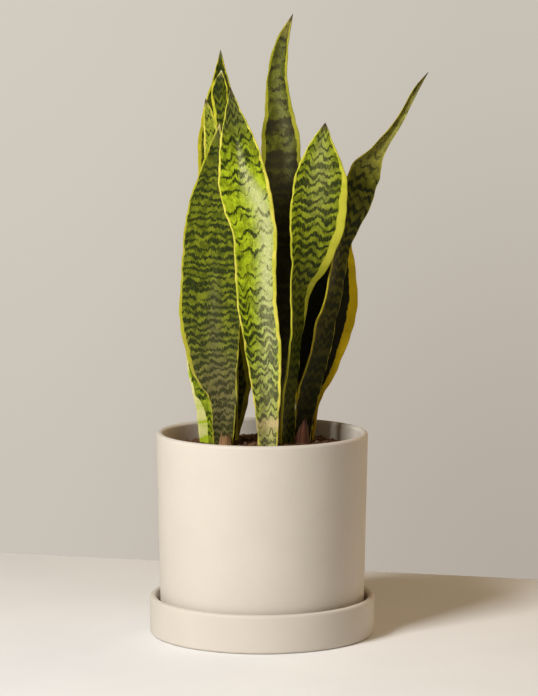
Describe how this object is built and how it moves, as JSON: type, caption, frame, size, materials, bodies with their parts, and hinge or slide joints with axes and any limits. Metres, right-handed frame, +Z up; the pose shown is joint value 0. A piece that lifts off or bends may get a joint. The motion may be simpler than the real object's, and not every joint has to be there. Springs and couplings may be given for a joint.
{
  "type": "potted snake plant",
  "caption": "Snake plant with upright, banded, yellow-edged leaves in a round cream ceramic planter standing in its matching saucer.",
  "frame": {"origin": "middle of the saucer's flat underside, on the planter's axis", "axes": "+Z up along the planter's axis, -Y towards the front of the plant, +X towards its right"},
  "size_m": [0.2334, 0.1898, 0.5195],
  "materials": {
    "cream_ceramic": "matt cream stoneware with a faint, even mottle",
    "potting_soil": "moist, dark brown crumbs of composted bark and peat",
    "leaf": "waxy, fleshy leaf, green with dark wavy cross-bands and yellow margins",
    "dry_leaf": "dry, papery brown remains of old leaf bases"
  },
  "bodies": {
    "root": {"saucer": "cream_ceramic", "planter_pot": "cream_ceramic", "potting_soil": "potting_soil", "leaf_front_centre": "leaf", "leaf_front_left": "leaf", "leaf_short_left": "leaf", "leaf_slender_left": "leaf", "leaf_folded_left": "leaf", "leaf_back_left": "leaf", "leaf_back_centre": "leaf", "leaf_front_right": "leaf", "leaf_leaning_right": "leaf", "leaf_back_right": "leaf", "dry_sheath_left": "dry_leaf", "dry_sheath_right": "dry_leaf"}
  },
  "joints": []
}
